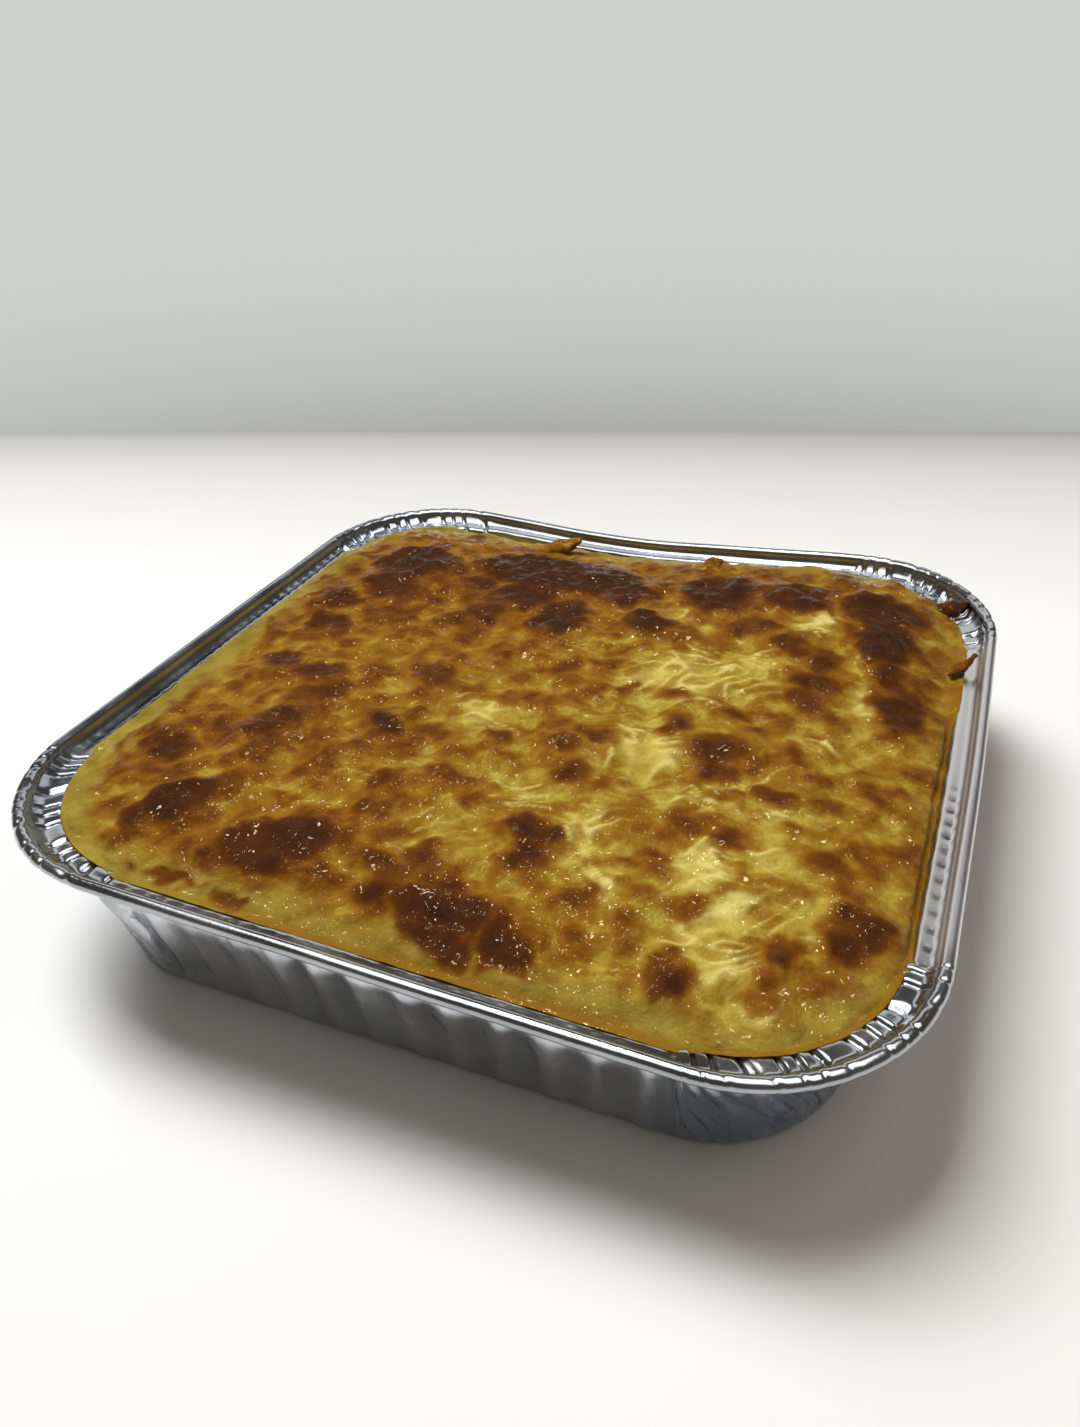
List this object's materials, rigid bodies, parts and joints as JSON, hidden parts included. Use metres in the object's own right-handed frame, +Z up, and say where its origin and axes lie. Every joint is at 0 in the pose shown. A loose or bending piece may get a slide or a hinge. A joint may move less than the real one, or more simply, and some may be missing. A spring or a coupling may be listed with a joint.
{
  "type": "foil tray meal",
  "caption": "Square rolled-rim aluminium foil tray filled with a yellow mash bake under browned melted cheese.",
  "frame": {"origin": "middle of the tray's flat underside, at the middle of the whole model's box", "axes": "+Z up out of the tray, -Y out of the front wall, +X out of the right wall"},
  "size_m": [0.2088, 0.2076, 0.0448],
  "materials": {
    "foil": "bright rolled foil with pleats and small creases",
    "bake": "oily melted cheese over yellow mash, browned in dark patches"
  },
  "bodies": {
    "root": {"tray": "foil", "bake": "bake"}
  },
  "joints": []
}
